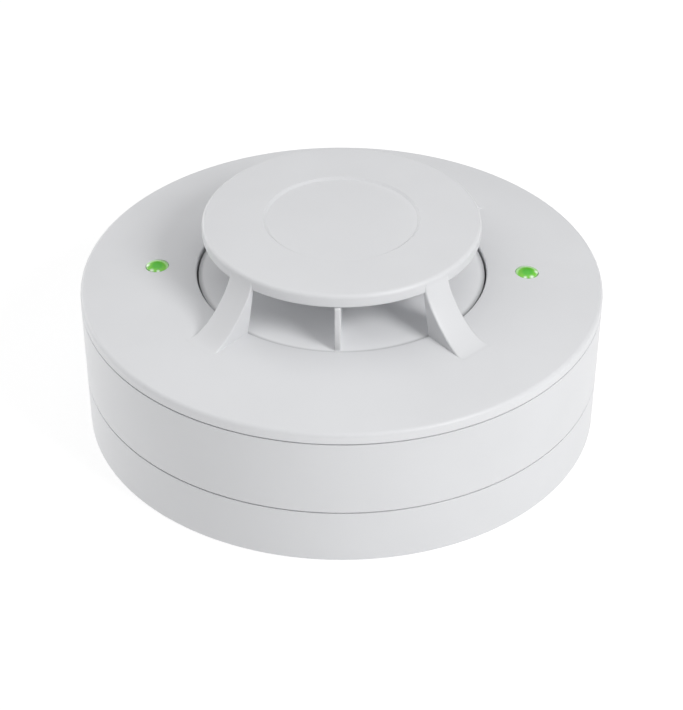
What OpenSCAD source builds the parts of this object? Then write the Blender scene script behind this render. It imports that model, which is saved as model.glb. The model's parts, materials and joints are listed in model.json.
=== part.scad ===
// Round heat detector: a twist-lock sensing head on a terminal base.
// It stands on the back of its base. +Z points from the base to the air cap, the two
// indicator lenses lie along X, and one of the two air vanes points along -Y.

/* [Body] */
// Largest diameter, at the seam under the cover
body_d = 100; // [95:1:125]
// Height of the base, up to the middle of its seam with the head
base_h = 11.3; // [11:0.1:15]
// Height of the head's housing, from seam to seam
housing_h = 15.7; // [15:0.1:22]
// How much the side wall narrows from the cover's seam down to the back
draft = 0.6; // [0.2:0.1:1.2]
// Width of the shadow gap at each seam
seam_w = 0.25; // [0.2:0.05:0.8]
// Thickness of the moulded walls
wall_t = 2; // [1.8:0.1:2.4]

/* [Cover] */
// Height of the rounded lip over its seam
lip_h = 2.3; // [1.8:0.1:3.5]
// Radius of the lip's and the cap's rounded edges
edge_round = 0.8; // [0.6:0.1:1.4]
// Width of the outer slope, from the side wall to the ring line
slope_w = 12.9; // [10:0.1:14]
// Rise of the outer slope, from the lip to the ring line
slope_rise = 1.7; // [1:0.1:3]
// Rise of the inner slope, from the ring line to the opening
inner_rise = 0.6; // [0.2:0.1:1.5]

/* [Air cap] */
// Diameter of the cap
cap_d = 52.9; // [44:0.1:54]
// Height of the air gap between the opening's rim and the cap
air_gap = 8.7; // [7:0.1:12]
// Thickness of the cap at its edge
cap_t = 2.6; // [2:0.1:3.5]
// Rise of the cap's centre over its edge
cap_crown = 0.35; // [0.1:0.05:0.8]
// Diameter of the shallow recess in the cap's middle
recess_d = 29.2; // [20:0.1:40]
// Depth of that recess
recess_depth = 0.25; // [0.1:0.01:0.5]
// Width of each strut that carries the cap
strut_w = 5.8; // [4:0.1:7]
// Angle from each air vane to the struts on either side of it
strut_deg = 43; // [35:1:50]
// Bow of a strut's outer face: 0 is straight, 0.55 a quarter of an ellipse
strut_bow = 0.33; // [0.1:0.01:0.55]
// Thickness of the two air vanes
vane_t = 1.1; // [0.8:0.1:2]

/* [Twist lock] */
// Number of locking lugs
lug_count = 3; // [3:1:4]
// Width of a locking lug, as an angle
lug_deg = 18; // [14:1:24]
// Turn past a lug's own width that frees it from its catch
release_margin_deg = 2; // [1:0.5:4]
// Radial running clearance of the head's spigot in the base
spigot_fit = 0.06; // [0.03:0.01:0.1]

/* [Terminals] */
// Distance between the centres of the two fixing slots
slot_spacing = 60; // [50:1:66]
// Width of a fixing slot
slot_w = 4.4; // [4:0.1:5]
// End-to-end length of a fixing slot
slot_len = 12; // [8:1:14]
// Diameter of the cable entry
cable_d = 22; // [16:1:24]
// Diameter of a terminal screw's thread
screw_d = 3.5; // [3:0.1:4.4]
// Radial running clearance of a terminal screw in its plate and its clamp
screw_fit = 0.05; // [0.02:0.01:0.1]
// Distance a terminal screw backs out
screw_lift = 1.5; // [1:0.1:1.6]

/* [Indicators] */
// Diameter of an indicator lens
lens_d = 4.2; // [3:0.1:5]
// Height of a lens's dome over the cover
lens_dome = 0.5; // [0.4:0.1:1.5]
// Distance of a lens's centre inside the ring line
lens_inset = 1.65; // [1.4:0.05:2.5]
// Distance of both lenses behind the X axis
lens_back = 0.6; // [0:0.1:2]

/* [Hidden] */
$fn = 96;

// Small steps that make cuts and joins clean
eps = 0.01;
// Gap between flat faces of pieces that move past each other
slide_gap = 0.15;
// Gap between pieces that are only set into one another
set_gap = 0.1;
// Count of segments in a quarter-round edge
arc_steps = 8;

// Seams and walls
body_r = body_d / 2;
cover_seam_z = base_h + housing_h;
base_top_z = base_h - seam_w / 2;
housing_bottom_z = base_h + seam_w / 2;
housing_top_z = cover_seam_z - seam_w / 2;
cover_bottom_z = cover_seam_z + seam_w / 2;
base_foot_r = body_r - draft;
base_floor_t = 2;
wall_inset = wall_t + 0.2;

// Cover: lip, slopes, opening
lip_z = cover_seam_z + lip_h;
ring_r = body_r - slope_w;
ring_z = lip_z + slope_rise;
cap_r = cap_d / 2;
opening_gap = 1.25;
opening_r = cap_r + opening_gap;
rim_z = ring_z + inner_rise;
throat_t = 1.6;
throat_r = opening_r + throat_t;
cover_spigot_t = 1.6;

// Cap and struts
recess_r = recess_d / 2;
cap_under_z = rim_z + air_gap;
cap_edge_z = cap_under_z + cap_t;
strut_inset = 0.2;
strut_foot_r = ring_r - strut_inset;
strut_proud = 0.15;
strut_root = 0.7;
strut_angles = [-90 - strut_deg, -90 + strut_deg, 90 - strut_deg, 90 + strut_deg];

// Twist lock, from the wall inwards
base_inner_r = base_foot_r - wall_inset;
catch_w = 2.2;
lock_bore_r = base_inner_r - catch_w;
spigot_r = lock_bore_r - spigot_fit;
spigot_t = 1.9;
spigot_inner_r = spigot_r - spigot_t;
lug_r = base_inner_r - 0.5;
release_deg = lug_deg + release_margin_deg;
ledge_drop = 5.2;
ledge_z = base_h - ledge_drop;
ledge_w = 2.4;
lug_z = ledge_z + slide_gap;
lug_t = 1.6;
catch_z = lug_z + lug_t + 2 * slide_gap;
catch_t = 2;
stop_deg = 3;
stop_gap_deg = 0.4;

// Base terminals: a plastic plinth, a bent contact strip, a clamp and a screw
terminal_angles = [45, 135, 225, 315];
wiper_inset = 8.5;
wiper_r = lock_bore_r - wiper_inset;
wiper_run = 12.5;
terminal_r = wiper_r - wiper_run;
wiper_len = 5;
wiper_t = 1.2;
plinth_z = 3.6;
plinth_len = 13;
plinth_shift = 1.5;
collar_t = 1.6;
collar_h = 2;
strip_t = 1;
strip_z = plinth_z + strip_t;
pad_drop = 4.6;
pad_z = base_h - pad_drop;
clamp_t = 0.8;
clamp_z = strip_z + 0.05;
screw_r = screw_d / 2;
screw_head_w = 1.65;
screw_head_r = screw_r + screw_head_w;
clamp_w = 2 * screw_head_r + 0.8;
strip_w = clamp_w + 0.4;
screw_head_t = 2.2;
screw_slot_w = 0.9;
pilot_gap = 0.4;
screw_head_z = clamp_z + clamp_t + set_gap;
thread_spare = 1.1;
screw_tip_z = plinth_z - screw_lift - thread_spare;

// Head housing and circuit board
floor_drop = 0.7;
floor_z = base_h - floor_drop;
floor_t = 1.6;
shelf_z = floor_z + floor_t;
housing_inner_r = body_r - wall_inset;
board_gap = 2.2;
board_z = shelf_z + board_gap;
board_t = 1.6;
board_top_z = board_z + board_t;
board_edge_gap = 2.3;
board_r = housing_inner_r - board_edge_gap;
small_part_r = 22;
seal_ledge_drop = 4.2;
seal_ledge_z = cover_seam_z - seal_ledge_drop;
seal_ledge_w = 1.9;
seal_t = 1;
fixing_angles = [90, 210, 330];
fixing_inset = 7;
fixing_r = board_r - fixing_inset;
diode_inset = 9.5;
diode_r = board_r - diode_inset;
boss_r = 3.2;
fixing_shank_r = 1.25;
fixing_hole_r = fixing_shank_r + 0.35;
fixing_head_r = 2.8;
fixing_head_t = 1.6;

// Sensor dish and thermistor
dish_gap = 0.3;
dish_r = opening_r - dish_gap;
dish_sink = 0.6;
dish_z = rim_z - dish_sink;
dish_t = 1.6;
foot_h = 5.6;
flange_z = board_top_z + foot_h;
flange_w = 3.3;
flange_r = opening_r + flange_w;
hub_r = 5.5;
hub_rise = 1.9;
hub_z = dish_z + hub_rise;
hub_drop = 2;
holder_r = 3.4;
holder_z = hub_z + 1;
lead_r = 0.25;
lead_offset = 0.8;
bead_r = 1.4;
bead_rise = 4.2;
bead_z = hub_z + bead_rise;

// Indicators
lens_r = lens_d / 2;
lens_gap = 0.15;
collar_w = 0.7;
lens_at_r = ring_r - lens_inset;
lens_seat_z = ring_z + inner_rise * (ring_r - lens_at_r) / (ring_r - opening_r);
led_t = 1.2;
dome_ball_r = (lens_r * lens_r + lens_dome * lens_dome) / (2 * lens_dome);

// Radius of the side wall at height z
function wall_r(z) = body_r - draft * (cover_seam_z - z) / cover_seam_z;

// Height of the cover's outer slope at radius r
function slope_z(r) = lip_z + slope_rise * (body_r - edge_round - r) / (body_r - edge_round - ring_r);

// Height of the cap's crowned top at radius r
function crown_z(r) = cap_edge_z + cap_crown * (1 - pow(r / (cap_r - edge_round), 2));

// Points of an arc of radius r about (x, y), from angle a0 to a1
function arc(x, y, r, a0, a1) =
    [for (i = [0:arc_steps]) let (a = a0 + (a1 - a0) * i / arc_steps) [x + r * cos(a), y + r * sin(a)]];

// Point at share t of a curve that leaves a towards b and reaches d from c
function curve(a, b, c, d, t) =
    pow(1 - t, 3) * a + 3 * pow(1 - t, 2) * t * b + 3 * (1 - t) * t * t * c + pow(t, 3) * d;

// Copies of the children at each angle about Z
module at_angles(angles) {
    for (a = angles) rotate([0, 0, a]) children();
}

// Ring of material between two radii
module ring(inner_r, outer_r, z, h) {
    translate([0, 0, z]) difference() {
        cylinder(r = outer_r, h = h);
        translate([0, 0, -eps]) cylinder(r = inner_r, h = h + 2 * eps);
    }
}

// Part of a ring, from angle a0 to a1
module ring_sector(inner_r, outer_r, z, h, a0, a1) {
    rotate([0, 0, a0]) rotate_extrude(angle = a1 - a0)
        translate([inner_r, z]) square([outer_r - inner_r, h]);
}

// Box centred on X and Y, standing on height z
module block(size, z) {
    translate([-size[0] / 2, -size[1] / 2, z]) cube(size);
}

// Lugs spread evenly about Z, each centred on its place
module lugs(inner_r, outer_r, z, h) {
    for (i = [0:lug_count - 1]) let (middle = i * 360 / lug_count)
        ring_sector(inner_r, outer_r, z, h, middle - lug_deg / 2, middle + lug_deg / 2);
}

// Slot with round ends along X
module slot(length, width, h) {
    reach = length / 2 - width / 2;
    for (side = [-1, 1]) translate([side * reach, 0, 0]) cylinder(d = width, h = h);
    translate([-reach, -width / 2, 0]) cube([2 * reach, width, h]);
}

// Side wall of the base with its chamfered foot
module base_shell() {
    foot = 0.5;
    rotate_extrude() polygon([
        [0, 0], [base_foot_r - foot, 0], [base_foot_r, foot], [wall_r(base_top_z), base_top_z],
        [base_inner_r, base_top_z], [base_inner_r, base_floor_t], [0, base_floor_t]
    ]);
}

// Stops that a lug of the head meets when it is locked and when it is released
module lock_stops() {
    lock_at = -lug_deg / 2 - stop_gap_deg;
    release_at = release_deg + lug_deg / 2 + stop_gap_deg;
    for (i = [0:lug_count - 1]) rotate([0, 0, i * 360 / lug_count]) {
        ring_sector(lock_bore_r + 0.4, base_inner_r + eps, ledge_z - eps, catch_z - ledge_z + 2 * eps,
            lock_at - stop_deg, lock_at);
        ring_sector(lock_bore_r + 0.4, base_inner_r + eps, ledge_z - eps, catch_z - ledge_z + 2 * eps,
            release_at, release_at + stop_deg);
    }
}

module mounting_base() {
    color("whitesmoke") difference() {
        union() {
            base_shell();
            ring(cable_d / 2, cable_d / 2 + collar_t, 1, base_floor_t + collar_h - 1);
            ring(lock_bore_r - ledge_w, base_inner_r + eps, base_floor_t - eps, ledge_z - base_floor_t + eps);
            lugs(lock_bore_r, base_inner_r + eps, catch_z, catch_t);
            lock_stops();
            at_angles(terminal_angles) translate([terminal_r + plinth_shift, 0, 0])
                block([plinth_len, strip_w + 2, plinth_z - base_floor_t + eps], base_floor_t - eps);
        }
        translate([0, 0, -1]) cylinder(d = cable_d, h = base_h);
        for (side = [-1, 1]) translate([side * slot_spacing / 2, 0, -1]) slot(slot_len, slot_w, base_h);
        at_angles(terminal_angles) translate([terminal_r, 0, screw_tip_z - pilot_gap])
            cylinder(r = screw_r + pilot_gap, h = plinth_z);
    }
}

// Bent strip: a flat end under the screw, a ramp, and a raised pad under the head's wiper
module base_contact(i) {
    inner = terminal_r - strip_w / 2 - 0.5;
    bend = terminal_r + strip_w / 2 + 1.5;
    pad = wiper_r - 4;
    tip = wiper_r + 3.5;
    color("goldenrod") rotate([0, 0, terminal_angles[i]]) difference() {
        translate([0, strip_w / 2, 0]) rotate([90, 0, 0]) linear_extrude(height = strip_w) polygon([
            [inner, plinth_z], [bend, plinth_z], [pad, pad_z - strip_t], [tip, pad_z - strip_t],
            [tip, pad_z], [pad - 0.3, pad_z], [bend - 0.3, strip_z], [inner, strip_z]
        ]);
        translate([terminal_r, 0, 0]) cylinder(r = screw_r + screw_fit, h = base_h);
    }
}

// Square clamp washer that presses a wire on its strip
module wire_clamp(i) {
    color("silver") rotate([0, 0, terminal_angles[i]]) translate([terminal_r, 0, 0]) difference() {
        block([clamp_w, clamp_w, clamp_t], clamp_z);
        cylinder(r = screw_r + screw_fit, h = base_h);
    }
}

module terminal_screw(i) {
    slot_depth = 1.1;
    color("silver") rotate([0, 0, terminal_angles[i]]) translate([terminal_r, 0, 0]) difference() {
        union() {
            translate([0, 0, screw_tip_z]) cylinder(r = screw_r, h = screw_head_z - screw_tip_z + eps);
            translate([0, 0, screw_head_z]) cylinder(r = screw_head_r, h = screw_head_t);
        }
        block([2 * screw_head_r + 1, screw_slot_w, slot_depth + 1], screw_head_z + screw_head_t - slot_depth);
    }
}

// Wall, floor, spigot and seal ledge of the housing, all round
module housing_shell() {
    rotate_extrude() polygon([
        [0, floor_z], [spigot_inner_r, floor_z], [spigot_inner_r, lug_z], [spigot_r, lug_z],
        [spigot_r, housing_bottom_z], [wall_r(housing_bottom_z), housing_bottom_z],
        [wall_r(housing_top_z), housing_top_z], [housing_inner_r, housing_top_z],
        [housing_inner_r, seal_ledge_z], [housing_inner_r - seal_ledge_w, seal_ledge_z],
        [housing_inner_r - seal_ledge_w, seal_ledge_z - 0.5], [housing_inner_r, seal_ledge_z - 1.4],
        [housing_inner_r, shelf_z + 0.9], [spigot_inner_r, shelf_z + 0.9], [spigot_inner_r - 1, shelf_z],
        [0, shelf_z]
    ]);
}

module head_housing() {
    color("white") difference() {
        union() {
            housing_shell();
            lugs(spigot_r - 1, lug_r, lug_z, lug_t);
            at_angles(fixing_angles) translate([fixing_r, 0, floor_z + 1])
                cylinder(r = boss_r + 0.8, h = board_z - floor_z - 1);
        }
        at_angles(fixing_angles) translate([fixing_r, 0, 0]) {
            cylinder(r = fixing_hole_r, h = board_z + 1);
            cylinder(r = fixing_head_r + 0.2, h = floor_z + fixing_head_t + 0.4);
        }
        at_angles(terminal_angles) translate([wiper_r, 0, 0])
            block([wiper_len + 2 * set_gap, wiper_t + 2 * set_gap, floor_t + 2], floor_z - 1);
    }
}

// Wiper that hangs from the board through the housing's floor
module head_contact(i) {
    plate_t = 0.8;
    color("goldenrod") rotate([0, 0, terminal_angles[i]]) translate([wiper_r, 0, 0]) {
        block([wiper_len, wiper_t, shelf_z + eps - pad_z - slide_gap], pad_z + slide_gap);
        block([wiper_len + 2, 3.4, plate_t], shelf_z);
        block([1, 0.6, board_z - shelf_z - plate_t + eps], shelf_z + plate_t - eps);
    }
}

module seal_ring() {
    color("dimgray") ring(housing_inner_r - 1.7, housing_inner_r - set_gap, seal_ledge_z, seal_t);
}

// Cross-section of the cover: lip, slopes, throat and the spigot that enters the housing
module cover_profile() {
    lip_mid = body_r - edge_round;
    spigot_out = housing_inner_r - 2 * set_gap;
    spigot_in = spigot_out - cover_spigot_t;
    polygon(concat(
        [[opening_r, rim_z - 0.2], [opening_r + 0.2, rim_z], [ring_r, ring_z]],
        arc(lip_mid, lip_z - edge_round, edge_round, 90, 0),
        [
            [body_r, cover_bottom_z], [spigot_out, cover_bottom_z],
            [spigot_out, seal_ledge_z + seal_t], [spigot_in, seal_ledge_z + seal_t],
            [spigot_in, lip_z - wall_t], [ring_r, ring_z - wall_t],
            [throat_r, rim_z - wall_t], [throat_r, flange_z], [opening_r, flange_z]
        ]
    ));
}

// Cross-section of the cap: flat below, round edge, slightly crowned
module cap_profile() {
    edge_at = cap_r - edge_round;
    crown = [for (i = [1:arc_steps]) let (r = edge_at * (1 - i / arc_steps)) [r, crown_z(r)]];
    polygon(concat(
        [[0, cap_under_z], [cap_r, cap_under_z]],
        arc(edge_at, cap_edge_z - edge_round, edge_round, 0, 90),
        crown
    ));
}

// Shallow round recess in the middle of the cap
module cap_recess() {
    translate([0, 0, crown_z(recess_r) - recess_depth]) cylinder(r = recess_r, h = 1);
}

// Strut: straight inside, bowed outside, from the cap's edge to the ring line
module strut() {
    top_z = cap_edge_z - edge_round;
    foot_z = ring_z + inner_rise * (ring_r - strut_foot_r) / (ring_r - opening_r);
    top = [cap_r + strut_proud, top_z];
    foot = [strut_foot_r, foot_z + strut_proud];
    below_top = [top[0], top_z - strut_bow * (top_z - foot[1])];
    before_foot = [strut_foot_r - strut_bow * (strut_foot_r - top[0]), foot[1]];
    outside = [for (i = [0:2 * arc_steps]) curve(top, below_top, before_foot, foot, i / (2 * arc_steps))];
    translate([0, strut_w / 2, 0]) rotate([90, 0, 0]) linear_extrude(height = strut_w) polygon(concat(
        [[cap_r - strut_root, cap_under_z - 0.5], [cap_r - strut_root, top_z]],
        outside,
        [[strut_foot_r, foot_z - 1], [throat_r - 0.3, rim_z - 1], [opening_r + 0.1, rim_z - 1],
            [opening_r + 0.1, rim_z - 0.1]]
    ));
}

module outer_cover() {
    color("white") difference() {
        union() {
            rotate_extrude() cover_profile();
            rotate_extrude() cap_profile();
            at_angles(strut_angles) strut();
            at_angles(fixing_angles) translate([fixing_r, 0, board_top_z])
                cylinder(r = boss_r, h = slope_z(fixing_r) - wall_t - board_top_z + 0.5);
        }
        at_angles(fixing_angles) translate([fixing_r, 0, board_top_z - 1])
            cylinder(r = fixing_shank_r + 0.05, h = 10);
        cap_recess();
        for (side = [-1, 1]) translate([side * lens_at_r, lens_back, ring_z - 6])
            cylinder(r = lens_r + lens_gap, h = 12);
    }
}

// Three screws that hold the cover, the board and the housing together
module cover_screws() {
    head_z = floor_z + 0.3;
    color("silver") at_angles(fixing_angles) translate([fixing_r, 0, head_z]) difference() {
        union() {
            cylinder(r = fixing_head_r, h = fixing_head_t);
            cylinder(r = fixing_shank_r, h = board_top_z + 8 - head_z);
        }
        for (a = [0, 90]) rotate([0, 0, a]) block([3.2, 0.7, 1.8], -1);
    }
}

// Floor of the air chamber, with its skirt, clamping flange, feet and two vanes
module sensor_dish() {
    edge = 0.4;
    cone_r = dish_r / 2;
    skirt_r = dish_r - dish_t;
    bush_z = dish_z - dish_t - hub_drop;
    color("white") union() {
        rotate_extrude() polygon(concat(
            [[holder_r + set_gap / 2, hub_z], [hub_r, hub_z], [cone_r, dish_z]],
            arc(dish_r - edge, dish_z - edge, edge, 90, 0),
            [
                [dish_r, flange_z], [flange_r, flange_z], [flange_r, flange_z - dish_t],
                [skirt_r, flange_z - dish_t], [skirt_r, dish_z - dish_t], [cone_r, dish_z - dish_t],
                [hub_r, dish_z - dish_t], [hub_r, bush_z], [holder_r + set_gap / 2, bush_z]
            ]
        ));
        for (a = [30, 150, 270]) rotate([0, 0, a]) translate([flange_r - 2.2, 0, board_top_z])
            cylinder(r = 1.8, h = flange_z - board_top_z - eps);
        at_angles([-90, 90]) translate([cone_r - 1, -vane_t / 2, dish_z - 0.5])
            cube([cap_r + 0.25 - cone_r + 1, vane_t, cap_under_z - set_gap - dish_z + 0.5]);
    }
}

// Insulating bush in the dish's hub
module thermistor_holder() {
    color("whitesmoke") difference() {
        union() {
            translate([0, 0, dish_z - dish_t - hub_drop])
                cylinder(r = holder_r, h = holder_z - dish_z + dish_t + hub_drop);
            translate([0, 0, holder_z - eps]) cylinder(r1 = holder_r - 0.6, r2 = 1.9, h = 1);
        }
        for (side = [-1, 1]) translate([side * lead_offset, 0, 0]) cylinder(r = lead_r + 0.05, h = bead_z);
    }
}

module thermistor_leads() {
    color("lightgray") for (side = [-1, 1]) translate([side * lead_offset, 0, board_top_z])
        cylinder(r = lead_r, h = bead_z - board_top_z, $fn = 24);
}

module thermistor_bead() {
    color("black") difference() {
        translate([0, 0, bead_z]) sphere(r = bead_r);
        for (side = [-1, 1]) translate([side * lead_offset, 0, 0]) cylinder(r = lead_r, h = bead_z, $fn = 24);
    }
}

// Light pipe with a domed end over the cover and a collar below it
module indicator_lens(side) {
    foot_z = board_top_z + led_t + 0.4;
    color("limegreen") translate([side * lens_at_r, lens_back, 0]) intersection() {
        union() {
            translate([0, 0, foot_z]) cylinder(r = lens_r, h = lens_seat_z + lens_dome - foot_z);
            translate([0, 0, ring_z - wall_t - 1.2]) cylinder(r = lens_r + collar_w, h = 0.9);
        }
        union() {
            translate([0, 0, lens_seat_z + lens_dome - dome_ball_r]) sphere(r = dome_ball_r);
            translate([0, 0, foot_z]) cylinder(r = lens_r + 1, h = lens_seat_z - foot_z);
        }
    }
}

module status_led(side) {
    color("ivory") translate([side * lens_at_r, lens_back, 0]) block([3.2, 2.8, led_t], board_top_z);
}

module circuit_board() {
    color("darkgreen") difference() {
        translate([0, 0, board_z]) cylinder(r = board_r, h = board_t);
        at_angles(fixing_angles) translate([fixing_r, 0, 0]) cylinder(r = fixing_hole_r, h = board_top_z + 1);
    }
}

// Flat chip with a row of legs along each long side
module chip(size, leg_count, leg_pitch) {
    body_z = board_top_z + 0.15;
    leg_w = 0.4;
    block([size[0], size[1], size[2] - 0.15], body_z);
    for (i = [0:leg_count - 1], side = [-1, 1])
        translate([(i - (leg_count - 1) / 2) * leg_pitch, side * (size[1] / 2 + 0.35), 0])
            block([leg_w, 0.9, 0.5], board_top_z);
}

module controller_chip() {
    color("black") translate([-11, 8, 0]) chip([9, 9, 1.5], 8, 1);
}

module driver_chip() {
    color("black") translate([11, 9, 0]) chip([8.6, 3.9, 1.5], 6, 1.27);
}

module electrolytic_capacitors() {
    color("silver") for (side = [-1, 1]) translate([side * 11, -11, board_top_z]) {
        cylinder(d = 6.3, h = 7.4);
        block([6.6, 6.6, 1], 0);
    }
}

module ceramic_capacitors() {
    color("burlywood") for (i = [0:5]) rotate([0, 0, 20 + i * 24]) translate([small_part_r, 0, 0])
        block([2, 1.25, 0.9], board_top_z);
}

module resistors() {
    color("black") for (i = [0:7]) rotate([0, 0, 196 + i * 21]) translate([small_part_r, 0, 0])
        block([2, 1.25, 0.6], board_top_z);
}

module diodes() {
    color("black") at_angles([60, 120, 240, 300]) translate([diode_r, 0, 0])
        block([2.6, 4.4, 2.2], board_top_z);
}

module clock_crystal() {
    color("silver") translate([0, 9, 0]) block([5, 3.2, 1.1], board_top_z);
}

mounting_base();
base_contact(0);  // base_contact_1
base_contact(1);  // base_contact_2
base_contact(2);  // base_contact_3
base_contact(3);  // base_contact_4
wire_clamp(0);  // wire_clamp_1
wire_clamp(1);  // wire_clamp_2
wire_clamp(2);  // wire_clamp_3
wire_clamp(3);  // wire_clamp_4
terminal_screw(0);  // terminal_screw_1
terminal_screw(1);  // terminal_screw_2
terminal_screw(2);  // terminal_screw_3
terminal_screw(3);  // terminal_screw_4
head_housing();
head_contact(0);  // head_contact_1
head_contact(1);  // head_contact_2
head_contact(2);  // head_contact_3
head_contact(3);  // head_contact_4
seal_ring();
outer_cover();
cover_screws();
sensor_dish();
thermistor_holder();
thermistor_leads();
thermistor_bead();
indicator_lens(-1);  // indicator_lens_left
indicator_lens(1);  // indicator_lens_right
status_led(-1);  // status_led_left
status_led(1);  // status_led_right
circuit_board();
controller_chip();
driver_chip();
electrolytic_capacitors();
ceramic_capacitors();
resistors();
diodes();
clock_crystal();
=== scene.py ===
"""Looks of a round heat detector: a twist-lock sensing head on its terminal base."""

import json
import logging
import math
from dataclasses import dataclass, field
from enum import Enum
from typing import Callable, Iterable, Sequence, Union

import bmesh
import bpy
from mathutils import Matrix, Vector


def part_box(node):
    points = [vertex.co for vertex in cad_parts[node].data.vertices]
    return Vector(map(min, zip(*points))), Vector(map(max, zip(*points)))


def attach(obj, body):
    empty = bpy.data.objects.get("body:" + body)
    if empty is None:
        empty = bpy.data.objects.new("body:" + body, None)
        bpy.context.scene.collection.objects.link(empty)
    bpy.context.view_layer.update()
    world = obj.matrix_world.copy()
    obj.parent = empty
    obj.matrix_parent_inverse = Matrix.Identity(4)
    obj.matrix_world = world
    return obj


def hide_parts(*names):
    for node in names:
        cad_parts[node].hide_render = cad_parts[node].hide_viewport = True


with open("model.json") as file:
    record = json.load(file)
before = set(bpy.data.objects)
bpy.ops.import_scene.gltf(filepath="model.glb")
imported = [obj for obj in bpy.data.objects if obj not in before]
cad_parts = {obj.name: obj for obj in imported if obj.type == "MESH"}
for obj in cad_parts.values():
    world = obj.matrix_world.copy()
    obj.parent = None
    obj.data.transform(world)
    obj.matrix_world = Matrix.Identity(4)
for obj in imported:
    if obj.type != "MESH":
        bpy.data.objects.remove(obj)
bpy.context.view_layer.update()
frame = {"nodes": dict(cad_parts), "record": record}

log = logging.getLogger("heat_detector")

MM = 0.001
ROUND_SEGMENTS = 256
SMALL_SEGMENTS = 48
SHARP_DEG = 32.0
ARC_STEP_DEG = 11

# Roundings of edges and the reach of a cutter past its cut, in millimetres.
SEAM_EDGE = 0.12
FINE_EDGE = 0.2
MOULD_EDGE = 0.3
PAST = 1.0

# Places that several mouldings share, in millimetres and degrees.
SCREW_AT_R = 38.5
SCREW_ANGLES = (90.0, 210.0, 330.0)
TERMINAL_ANGLES = (45.0, 135.0, 225.0, 315.0)
DISH_R = 27.4

Colour = tuple[float, float, float]
Corner = tuple[float, float, float]
Point = tuple[float, float]
Node = bpy.types.Node
Object = bpy.types.Object
Key = Union[str, int]
Operand = Union["Wire", float]
Sheet = dict[str, object]


# ---------------------------------------------------------------- shader maths


class Wire:
    """Output of a shader node that takes part in Python expressions."""

    def __init__(self, shader: "Shader", socket: bpy.types.NodeSocket) -> None:
        """Keeps the socket and the shader that its nodes go to.

        Args:
            shader: the shader that new nodes are added to.
            socket: the node output that this wire carries.
        """
        self.shader = shader
        self.socket = socket

    def _join(self, operation: str, first: Operand, second: Operand) -> "Wire":
        """Adds the node that works out one operation on values or on vectors.

        Args:
            operation: name of the operation, as the node's own menu gives it.
            first: left operand.
            second: right operand.

        Returns:
            The result as a new wire.
        """
        kind = "ShaderNodeVectorMath" if self.socket.type == "VECTOR" else "ShaderNodeMath"
        return self.shader.add(kind, {"operation": operation}, {0: first, 1: second})

    def __add__(self, other: Operand) -> "Wire":
        """Sum of this wire and another operand."""
        return self._join("ADD", self, other)

    def __radd__(self, other: Operand) -> "Wire":
        """Sum with the operand on the left."""
        return self._join("ADD", other, self)

    def __sub__(self, other: Operand) -> "Wire":
        """Difference of this wire and another operand."""
        return self._join("SUBTRACT", self, other)

    def __rsub__(self, other: Operand) -> "Wire":
        """Difference with the operand on the left."""
        return self._join("SUBTRACT", other, self)

    def __mul__(self, other: Operand) -> "Wire":
        """Product of this wire and another operand."""
        return self._join("MULTIPLY", self, other)

    def __rmul__(self, other: Operand) -> "Wire":
        """Product with the operand on the left."""
        return self._join("MULTIPLY", other, self)

    def __truediv__(self, other: Operand) -> "Wire":
        """Quotient of this wire and another operand."""
        return self._join("DIVIDE", self, other)

    def __pow__(self, power: float) -> "Wire":
        """This wire raised to a power."""
        return self._join("POWER", self, power)

    def at_least(self, floor: float) -> "Wire":
        """The larger of this wire and a number."""
        return self._join("MAXIMUM", self, floor)

    def step(self, low: float, high: float) -> "Wire":
        """A smooth rise from 0 to 1 as this wire goes from low to high.

        Args:
            low: value where the result is still 0.
            high: value where the result reaches 1.

        Returns:
            The rise as a new wire.
        """
        inputs = {"Value": self, "From Min": low, "From Max": high}
        return self.shader.add("ShaderNodeMapRange", {"interpolation_type": "SMOOTHSTEP"}, inputs)


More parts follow.
